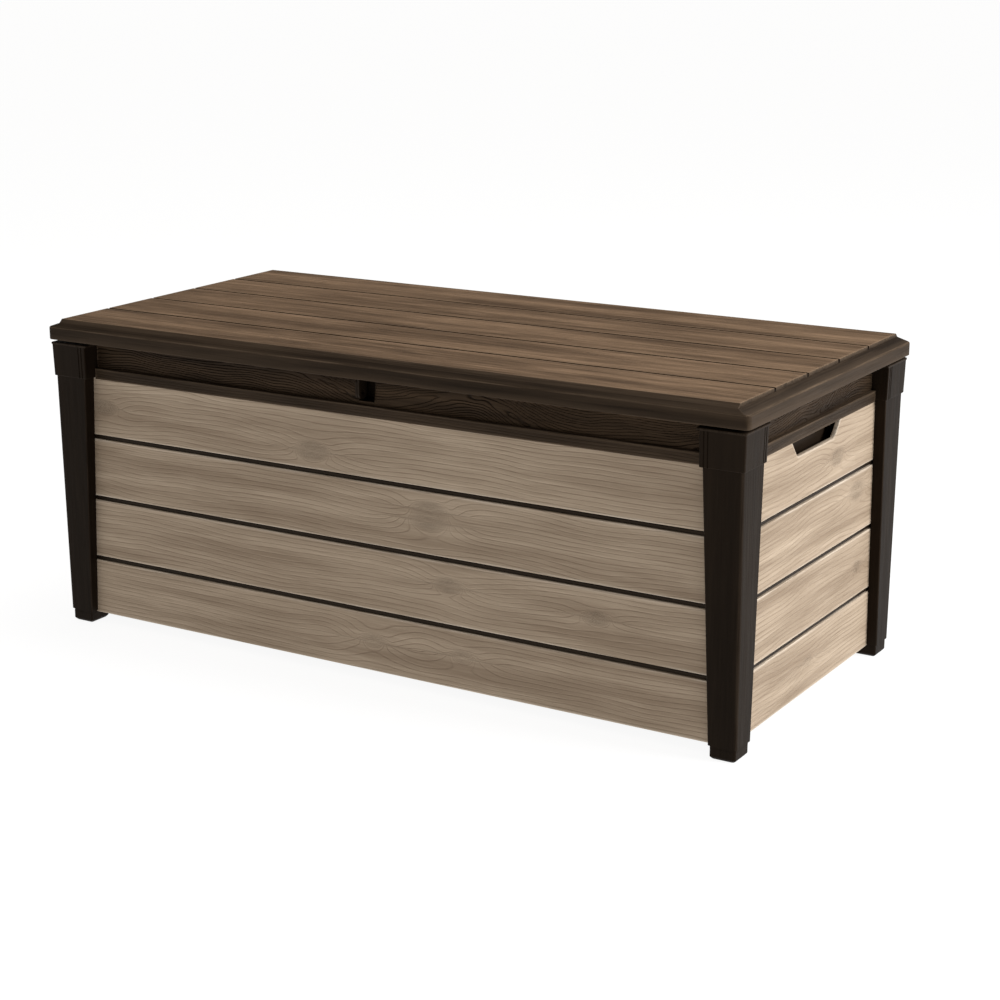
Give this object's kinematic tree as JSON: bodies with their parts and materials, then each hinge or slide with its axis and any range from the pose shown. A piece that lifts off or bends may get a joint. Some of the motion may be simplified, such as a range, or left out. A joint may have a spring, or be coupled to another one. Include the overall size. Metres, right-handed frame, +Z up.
{
  "type": "deck storage box",
  "caption": "Long outdoor storage chest with horizontal plank walls, tapered corner legs, end handle cut-outs and a hinged plank-top lid on gas struts.",
  "frame": {"origin": "on the ground under the middle of the box", "axes": "+X along the length, front faces -Y, +Z up"},
  "size_m": [1.455, 0.697, 0.603],
  "materials": {
    "tan_resin": "moulded wood grain, matte",
    "dark_resin": "moulded wood grain, matte",
    "lid_resin": "brushed plank top over a dark lip, matte",
    "black_tube": "satin black paint",
    "polished_rod": "polished",
    "steel": "zinc-plated"
  },
  "bodies": {
    "box": {"back_left_corner_cap": "dark_resin", "back_left_foot": "dark_resin", "back_left_leg": "dark_resin", "back_plank_1": "tan_resin", "back_plank_2": "tan_resin", "back_plank_3": "tan_resin", "back_plank_4": "tan_resin", "back_rail": "dark_resin", "back_right_corner_cap": "dark_resin", "back_right_foot": "dark_resin", "back_right_leg": "dark_resin", "back_wall_panel": "dark_resin", "base_floor": "dark_resin", "front_left_corner_cap": "dark_resin", "front_left_foot": "dark_resin", "front_left_leg": "dark_resin", "front_plank_1": "tan_resin", "front_plank_2": "tan_resin", "front_plank_3": "tan_resin", "front_plank_4": "tan_resin", "front_rail": "dark_resin", "front_right_corner_cap": "dark_resin", "front_right_foot": "dark_resin", "front_right_leg": "dark_resin", "front_wall_panel": "dark_resin", "hinge_bracket_1": "dark_resin", "hinge_bracket_2": "dark_resin", "hinge_bracket_3": "dark_resin", "hinge_pins": "steel", "left_handle_cup": "dark_resin", "left_plank_1": "tan_resin", "left_plank_2": "tan_resin", "left_plank_3": "tan_resin", "left_plank_4": "tan_resin", "left_rail": "dark_resin", "left_strut_wall_bracket": "steel", "left_wall_panel": "dark_resin", "padlock_staple": "dark_resin", "right_handle_cup": "dark_resin", "right_plank_1": "tan_resin", "right_plank_2": "tan_resin", "right_plank_3": "tan_resin", "right_plank_4": "tan_resin", "right_rail": "dark_resin", "right_strut_wall_bracket": "steel", "right_wall_panel": "dark_resin", "wall_screws": "steel"},
    "lid": {"hinge_leaf_1": "dark_resin", "hinge_leaf_2": "dark_resin", "hinge_leaf_3": "dark_resin", "left_strut_lid_tab": "steel", "lid_hasp": "dark_resin", "lid_liner": "dark_resin", "lid_screws": "steel", "lid_shell": "lid_resin", "right_strut_lid_tab": "steel"},
    "right_tube": {"right_strut_cylinder": "black_tube"},
    "right_rod": {"right_strut_rod": "polished_rod"},
    "left_tube": {"left_strut_cylinder": "black_tube"},
    "left_rod": {"left_strut_rod": "polished_rod"}
  },
  "joints": [
    {"name": "lid_hinge", "type": "hinge", "parent": "box", "child": "lid", "pos_m": [0, 0.337, 0.552], "axis": [-1, 0, 0], "range_deg": [0, 95]},
    {"name": "right_strut_swing", "type": "hinge", "parent": "box", "child": "right_tube", "pos_m": [0.658, 0.04, 0.424], "axis": [1, 0, 0], "range_deg": [0, 4.89]},
    {"name": "right_strut_slide", "type": "slide", "parent": "right_tube", "child": "right_rod", "axis": [0, 0.8776, 0.4794], "range_m": [0, 0.1003]},
    {"name": "left_strut_swing", "type": "hinge", "parent": "box", "child": "left_tube", "pos_m": [-0.658, 0.04, 0.424], "axis": [1, 0, 0], "range_deg": [0, 4.89]},
    {"name": "left_strut_slide", "type": "slide", "parent": "left_tube", "child": "left_rod", "axis": [0, 0.8776, 0.4794], "range_m": [0, 0.1003]}
  ],
  "couplings": [
    {"joint": "right_strut_swing", "follows": "lid_hinge", "ratio": 0.051239},
    {"joint": "right_strut_slide", "follows": "lid_hinge", "m_per_rad": 0.06037},
    {"joint": "left_strut_swing", "follows": "lid_hinge", "ratio": 0.051239},
    {"joint": "left_strut_slide", "follows": "lid_hinge", "m_per_rad": 0.06037}
  ]
}
